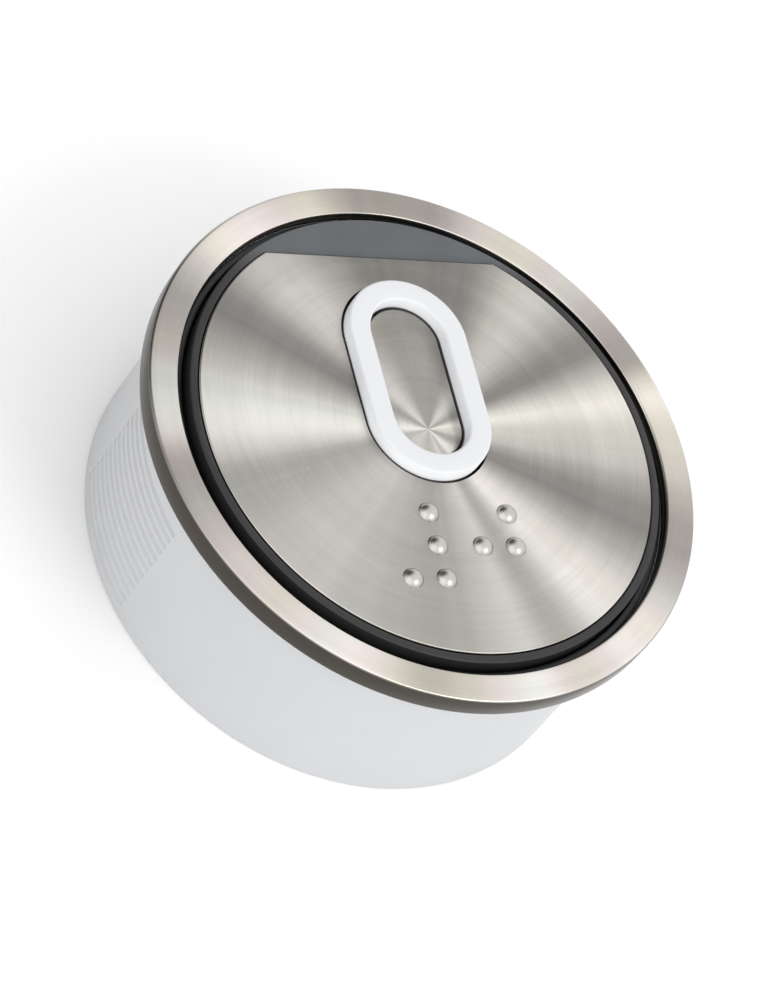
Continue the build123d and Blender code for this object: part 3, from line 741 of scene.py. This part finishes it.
class BUTTON_OT_body(bpy.types.Operator):
    """Turns the white barrel and cuts a strip of fine thread in each side."""

    bl_idname = "button.body"
    bl_label = "Threaded Body"

    def execute(self, context):
        sizes = context.scene.button_sizes
        collar = half_width("threaded_body")
        collar_top = top("threaded_body")
        rear = bottom("threaded_body")
        shelf = bottom("guide_sleeve")
        outline = [(collar, collar_top), (collar, 0), (sizes.barrel_radius, 0), (sizes.barrel_radius, rear),
                   (sizes.body_bore, rear), (sizes.body_bore, shelf), (sizes.bezel_bore, shelf),
                   (sizes.bezel_bore, collar_top)]
        barrel = lathe("body_barrel", outline, sizes.turning_steps)
        round_edges(barrel, 0.25 * MM, segments=3)
        cut(barrel, self.thread_cutter(sizes))
        clean(barrel)
        place(barrel, "root", "white_body", MATERIALS["white_body"], "threaded_body")
        return {"FINISHED"}

    def thread_cutter(self, sizes):
        """V-section arcs for the grooves of both strips, joined into one cutter."""
        reach = sizes.barrel_radius + 0.05 * MM
        bpy.ops.object.select_all(action="DESELECT")
        bpy.ops.mesh.primitive_circle_add(vertices=3, radius=1, fill_type="NGON", rotation=(pi / 2, 0, 0))
        groove = start("groove")
        bpy.ops.object.transform_apply(location=True, rotation=True, scale=True)
        corners = ((sizes.barrel_radius - sizes.thread_depth, 0), (reach, sizes.thread_pitch * 3 / 8),
                   (reach, -sizes.thread_pitch * 3 / 8))
        for vertex, (radius, height) in zip(groove.data.vertices, corners):
            vertex.co = (radius, 0, height - sizes.thread_start - sizes.thread_pitch / 2)
        select_points(groove, lambda co: True)
        bpy.ops.transform.rotate(value=-sizes.thread_arc / 2, orient_axis="Z", center_override=(0, 0, 0))
        bpy.ops.mesh.spin(steps=24, angle=sizes.thread_arc, center=(0, 0, 0), axis=(0, 0, 1))
        bpy.ops.object.mode_set(mode="OBJECT")
        low_side = min(vertex.co.y for vertex in groove.data.vertices)
        high_side = max(vertex.co.y for vertex in groove.data.vertices)
        middle = (low_side + high_side) / 2
        if abs(middle) > EPS:
            turn = -sizes.thread_arc if middle > 0 else sizes.thread_arc
            groove.data.transform(Matrix.Rotation(turn, 4, "Z"))
        clean(groove)
        apply_modifier(groove, "ARRAY", count=sizes.thread_grooves, use_relative_offset=False,
                       use_constant_offset=True, constant_offset_displace=(0, 0, -sizes.thread_pitch))
        opposite = groove.copy()
        opposite.data = groove.data.copy()
        opposite.data.transform(Matrix.Rotation(pi, 4, "Z"))
        bpy.context.scene.collection.objects.link(opposite)
        activate(groove)
        opposite.select_set(True)
        bpy.ops.object.join()
        return groove


class BUTTON_OT_sleeve(bpy.types.Operator):
    """Turns the black guide sleeve that lines the gap round the face."""

    bl_idname = "button.sleeve"
    bl_label = "Guide Sleeve"

    wall = 0.45 * MM
    foot_reach = 1.8 * MM

    def execute(self, context):
        sizes = context.scene.button_sizes
        outer = half_width("guide_sleeve")
        low, high = bottom("guide_sleeve"), top("guide_sleeve")
        inner = outer - self.wall
        foot = outer - self.foot_reach
        foot_top = bottom("bumper_ring")
        outline = [(outer, low), (outer, high), (inner, high), (inner, foot_top), (foot, foot_top),
                   (foot, low)]
        piece = lathe("sleeve_turned", outline, sizes.turning_steps)
        round_edges(piece, 0.08 * MM, segments=2)
        place(piece, "root", "black_plastic", MATERIALS["black_plastic"], "guide_sleeve")
        return {"FINISHED"}


class BUTTON_OT_carrier(bpy.types.Operator):
    """Shapes the dark carrier's rim, skirt and the crescent above the plate's straight edge."""

    bl_idname = "button.carrier"
    bl_label = "Cap Carrier"

    clearance = 0.05 * MM
    edge = 0.1 * MM
    cap_low = 0.1 * MM
    skirt_top = 0.15 * MM
    skirt_outer = 15.85 * MM
    skirt_inner = 14.9 * MM
    well_width = 10.6 * MM
    well_height = 17.0 * MM

    def execute(self, context):
        sizes = context.scene.button_sizes
        radius = half_width("cap_carrier")
        deck = bottom("face_plate")
        pocket_radius = half_width("face_plate") + self.clearance
        piece = round_block("carrier_cap", radius, self.cap_low, top("cap_carrier"), sizes.turning_steps)
        pocket = round_block("pocket", pocket_radius, deck, deck + 2 * MM, sizes.turning_steps)
        trim_at_chord(pocket, sizes.plate_chord + self.clearance)
        cut(piece, pocket)
        well = numeral_block("well", self.well_width, self.well_height, -1 * MM, deck + 1 * MM)
        cut(piece, well)
        clean(piece)
        round_edges(piece, self.edge)
        skirt_low = bottom("cap_carrier")
        outline = [(self.skirt_outer, skirt_low), (self.skirt_outer, self.skirt_top),
                   (self.skirt_inner, self.skirt_top), (self.skirt_inner, skirt_low)]
        skirt = lathe("carrier_skirt", outline, sizes.turning_steps)
        activate(piece)
        skirt.select_set(True)
        bpy.ops.object.join()
        place(piece, "button_face", "smoked_plastic", MATERIALS["smoked_plastic"], "cap_carrier")
        return {"FINISHED"}


class BUTTON_OT_plate(bpy.types.Operator):
    """Cuts the brushed steel plate to its straight edge and opens its numeral slot."""

    bl_idname = "button.plate"
    bl_label = "Face Plate"

    def execute(self, context):
        sizes = context.scene.button_sizes
        low, high = bottom("face_plate"), top("face_plate")
        piece = round_block("plate_brushed", half_width("face_plate"), low, high, sizes.turning_steps)
        trim_at_chord(piece, sizes.plate_chord)
        round_edges(piece, sizes.plate_edge, segments=3)
        island_low, island_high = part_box("zero_island")
        around = 2 * (sizes.numeral_stroke + 2 * sizes.numeral_gap)
        across = island_high.x - island_low.x + around
        along = island_high.y - island_low.y + around
        slot = numeral_block("slot", across, along, low - 1 * MM, high + 1 * MM)
        cut(piece, slot)
        clean(piece)
        place(piece, "button_face", "brushed_face", MATERIALS["brushed_face"], "face_plate")
        return {"FINISHED"}


class BUTTON_OT_island(bpy.types.Operator):
    """Shapes the steel island inside the numeral."""

    bl_idname = "button.island"
    bl_label = "Numeral Island"

    def execute(self, context):
        sizes = context.scene.button_sizes
        low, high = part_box("zero_island")
        piece = numeral_block("island_brushed", high.x - low.x, high.y - low.y, low.z, high.z)
        round_edges(piece, sizes.plate_edge, segments=2)
        place(piece, "button_face", "brushed_face", MATERIALS["brushed_island_painted_light"], "zero_island")
        return {"FINISHED"}


class BUTTON_OT_numeral(bpy.types.Operator):
    """Shapes the raised white numeral with its soft edges."""

    bl_idname = "button.numeral"
    bl_label = "Raised Numeral"

    near_axis = EPS * 10
    flange_reach = 0.8 * MM
    crown_steps = 6
    turning_steps = 120

    def execute(self, context):
        sizes = context.scene.button_sizes
        low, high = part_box("zero_island")
        centre = (low.y + high.y) / 2
        reach = (high.y - low.y - high.x + low.x) / 2
        inner = high.x + sizes.numeral_gap
        outer = inner + sizes.numeral_stroke
        rise = top("symbol_lens")
        deck = bottom("face_plate")
        flange = bottom("symbol_lens")
        edge = sizes.numeral_edge
        angles = [step * pi / (2 * self.crown_steps) for step in range(self.crown_steps + 1)]
        crown = [(outer - edge * (1 - cos(angle)), rise - edge * (1 - sin(angle))) for angle in angles]
        crown += [(inner + edge * (1 - sin(angle)), rise - edge * (1 - cos(angle))) for angle in angles]
        skirt = outer + self.flange_reach
        outline = [(inner, deck), (self.near_axis, deck), (self.near_axis, flange),
                   (skirt, flange), (skirt, deck - 1 * MM), (outer, deck - 1 * MM)]
        piece = lathe("numeral_raised", crown + outline, self.turning_steps)
        stretch_along_y(piece, centre, reach)
        clean(piece)
        place(piece, "button_face", "white_lens", MATERIALS["white_lens"], "symbol_lens")
        return {"FINISHED"}


class BUTTON_OT_dots(bpy.types.Operator):
    """Domes the Braille dots, a number sign and a zero, out of the plate."""

    bl_idname = "button.dots"
    bl_label = "Braille Dots"

    number_sign = ((1, 0), (1, 1), (1, 2), (0, 2))
    digit_zero = ((1, 0), (0, 1), (1, 1))

    def execute(self, context):
        sizes = context.scene.button_sizes
        low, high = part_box("braille_pins")
        plate = top("face_plate")
        rise = high.z - plate
        radius = (sizes.dot_radius**2 + rise**2) / (2 * rise)
        bpy.ops.object.select_all(action="DESELECT")
        bpy.ops.mesh.primitive_uv_sphere_add(segments=32, ring_count=24, radius=radius,
                                             location=(0, 0, high.z - radius))
        dome = start("dots_domed")
        bpy.ops.object.transform_apply(location=True, rotation=True, scale=True)
        select_points(dome, lambda co: True)
        bpy.ops.mesh.bisect(plane_co=(0, 0, plate - 0.05 * MM), plane_no=(0, 0, -1), use_fill=True,
                            clear_outer=True, threshold=EPS / 100)
        bpy.ops.object.mode_set(mode="OBJECT")
        left = low.x + sizes.dot_radius
        right = high.x - sizes.dot_radius - sizes.dot_pitch
        first_row = high.y - sizes.dot_radius
        places = [(left + column * sizes.dot_pitch, row) for column, row in self.number_sign]
        places += [(right + column * sizes.dot_pitch, row) for column, row in self.digit_zero]
        copies = []
        for x, row in places:
            copy = dome.copy()
            copy.data = dome.data.copy()
            context.scene.collection.objects.link(copy)
            copy.location = (x, first_row - row * sizes.dot_pitch, 0)
            copies.append(copy)
        bpy.data.objects.remove(dome)
        activate(copies[0])
        for copy in copies:
            copy.select_set(True)
        bpy.ops.object.join()
        piece = start("dots_domed")
        clean(piece)
        place(piece, "button_face", "dot_steel", MATERIALS["dot_steel"], "braille_pins")
        return {"FINISHED"}


class BUTTON_OT_springs(bpy.types.Operator):
    """Winds the three return springs."""

    bl_idname = "button.springs"
    bl_label = "Return Springs"

    directions = (60, 180, 300)
    wire_sides = 8
    steps_per_turn = 24

    def execute(self, context):
        sizes = context.scene.button_sizes
        wire, turns = sizes.spring_wire, sizes.spring_turns
        low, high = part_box("return_springs")
        coils = []
        for degrees in self.directions:
            bpy.ops.object.select_all(action="DESELECT")
            bpy.ops.mesh.primitive_circle_add(vertices=self.wire_sides, radius=wire, rotation=(pi / 2, 0, 0))
            coil = start("coil")
            bpy.ops.object.transform_apply(location=True, rotation=True, scale=True)
            select_points(coil, lambda co: True)
            bpy.ops.transform.translate(value=(sizes.spring_radius, 0, 0))
            bpy.ops.object.mode_set(mode="OBJECT")
            rise = high.z - low.z - 2 * wire
            steps = self.steps_per_turn * turns
            apply_modifier(coil, "SCREW", angle=2 * pi * turns, screw_offset=rise, steps=steps,
                           render_steps=steps, use_merge_vertices=False)
            angle = radians(degrees)
            coil.location = (sizes.spring_circle * cos(angle), sizes.spring_circle * sin(angle), low.z + wire)
            activate(coil)
            bpy.ops.object.transform_apply(location=True, rotation=True, scale=True)
            clean(coil)
            bpy.ops.object.mode_set(mode="EDIT")
            bpy.ops.mesh.select_all(action="SELECT")
            bpy.ops.mesh.fill_holes(sides=self.wire_sides)
            bpy.ops.object.mode_set(mode="OBJECT")
            coils.append(coil)
        activate(coils[0])
        for coil in coils:
            coil.select_set(True)
        bpy.ops.object.join()
        piece = start("springs_wound")
        clean(piece)
        place(piece, "root", "spring_steel", MATERIALS["spring_steel"], "return_springs")
        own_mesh(piece)
        return {"FINISHED"}


class BUTTON_OT_inner_finish(bpy.types.Operator):
    """Gives every carried-over inner and rear piece its finish."""

    bl_idname = "button.inner_finish"
    bl_label = "Inner Finishes"

    def execute(self, context):
        for entry in frame["record"]["subparts"]:
            carried = frame["nodes"][entry["node"]]
            carried.data.materials.clear()
            carried.data.materials.append(MATERIALS[entry["material_slot"]])
        return {"FINISHED"}


# ---------------------------------------------------------------- studio


class BUTTON_OT_studio(bpy.types.Operator):
    """Lays the pale floor and sets the lights, the sky and the camera."""

    bl_idname = "button.studio"
    bl_label = "Studio"

    def execute(self, context):
        self.lay_floor(context)
        self.set_sky(context)
        for name, azimuth, height, distance, size, power in (
            ("key", -68, 40, 0.45, (0.20, 0.20), 0.45),
            ("left_fill", 205, 25, 1.0, (1.2, 1.2), 2.1),
        ):
            self.add_light(context, name, radians(azimuth), radians(height), distance, size, power)
        self.set_camera(context)
        return {"FINISHED"}

    def lay_floor(self, context):
        """A wide pale plane under the rear rim."""
        bpy.ops.object.select_all(action="DESELECT")
        bpy.ops.mesh.primitive_plane_add(size=4, location=(0, 0, bottom("threaded_body") - 0.02 * MM))
        floor = start("studio_floor")
        colour = tuple(context.scene.button_colours.floor)
        floor.data.materials.append(moulded("floor_paper", colour, 0.9, 0.2, 0.01, 0.0))

    def set_sky(self, context):
        """A soft white sky with one dim side, above the top of the numeral."""
        context.scene.view_settings.view_transform = "Standard"
        world = bpy.data.worlds.new("studio_sky")
        context.scene.world = world
        world.use_nodes = True
        tree = world.node_tree
        background = tree.nodes["Background"]
        background.inputs["Strength"].default_value = 1.14
        direction = tree.nodes.new("ShaderNodeTexCoord").outputs["Generated"]
        facing = node(tree, "ShaderNodeVectorMath", operation="DOT_PRODUCT")
        facing.inputs[1].default_value = (-0.34, 0.81, 0.47)
        tree.links.new(direction, facing.inputs[0])
        fade = tree.nodes.new("ShaderNodeMapRange")
        fade.interpolation_type = "SMOOTHSTEP"
        fade.inputs["From Min"].default_value = 0.70
        fade.inputs["From Max"].default_value = 0.97
        tree.links.new(facing.outputs["Value"], fade.inputs["Value"])
        tone = colour_mix(tree, fade.outputs["Result"], (1.0, 1.0, 1.0), (0.03, 0.03, 0.03))
        tree.links.new(tone, background.inputs["Color"])

    def add_light(self, context, name, azimuth, height, distance, size, power):
        """A rectangular soft light aimed at the button."""
        direction = Vector((cos(height) * cos(azimuth), cos(height) * sin(azimuth), sin(height)))
        lamp = bpy.data.lights.new(name, "AREA")
        lamp.shape = "RECTANGLE"
        lamp.size, lamp.size_y = size
        lamp.energy = power
        holder = bpy.data.objects.new(name, lamp)
        holder.location = direction * distance
        holder.rotation_euler = direction.to_track_quat("Z", "Y").to_euler()
        context.scene.collection.objects.link(holder)

    def set_camera(self, context):
        """A long lens from the lower left of the face, rolled so that the numeral leans."""
        aim = Vector((-2.34, -2.88, -1.62)) * MM
        azimuth, height, roll = radians(-136.52), radians(48.23), radians(39.57)
        distance = 305.7 * MM
        direction = Vector((cos(height) * cos(azimuth), cos(height) * sin(azimuth), sin(height)))
        across = Vector((0, 0, 1)).cross(direction).normalized()
        upwards = direction.cross(across)
        level = Matrix((across, upwards, direction)).transposed()
        turned = level @ Matrix.Rotation(roll, 3, "Z")
        lens = bpy.data.cameras.new("studio_camera")
        lens.lens = 166.2
        lens.sensor_width = 36.0
        lens.clip_start = 0.01
        camera = bpy.data.objects.new("studio_camera", lens)
        camera.matrix_world = Matrix.Translation(aim + direction * distance) @ turned.to_4x4()
        context.scene.collection.objects.link(camera)
        context.scene.camera = camera


# ---------------------------------------------------------------- panel and registration


STEPS = ("studio", "bezel", "body", "sleeve", "carrier", "plate", "island", "numeral", "dots", "springs",
         "inner_finish")


class BUTTON_PT_build(bpy.types.Panel):
    """Lists the sizes, the colours and the building steps."""

    bl_idname = "BUTTON_PT_build"
    bl_label = "Lift Push Button"
    bl_space_type = "VIEW_3D"
    bl_region_type = "UI"
    bl_category = "Lift Button"

    def draw(self, context):
        for group in (context.scene.button_sizes, context.scene.button_colours):
            for name in group.bl_rna.properties.keys():
                if name not in ("rna_type", "name"):
                    self.layout.prop(group, name)
        for step in STEPS:
            self.layout.operator("button." + step)


CLASSES = (ButtonSizes, ButtonColours, BUTTON_OT_bezel, BUTTON_OT_body, BUTTON_OT_sleeve, BUTTON_OT_carrier,
           BUTTON_OT_plate, BUTTON_OT_island, BUTTON_OT_numeral, BUTTON_OT_dots, BUTTON_OT_springs,
           BUTTON_OT_inner_finish, BUTTON_OT_studio, BUTTON_PT_build)


def register():
    for cls in CLASSES:
        bpy.utils.register_class(cls)
    bpy.types.Scene.button_sizes = PointerProperty(type=ButtonSizes)
    bpy.types.Scene.button_colours = PointerProperty(type=ButtonColours)


def unregister():
    del bpy.types.Scene.button_colours
    del bpy.types.Scene.button_sizes
    for cls in reversed(CLASSES):
        bpy.utils.unregister_class(cls)


def main():
    """Builds the whole button."""
    register()
    make_materials()
    for step in STEPS:
        getattr(bpy.ops.button, step)()


if __name__ == "__main__":
    main()
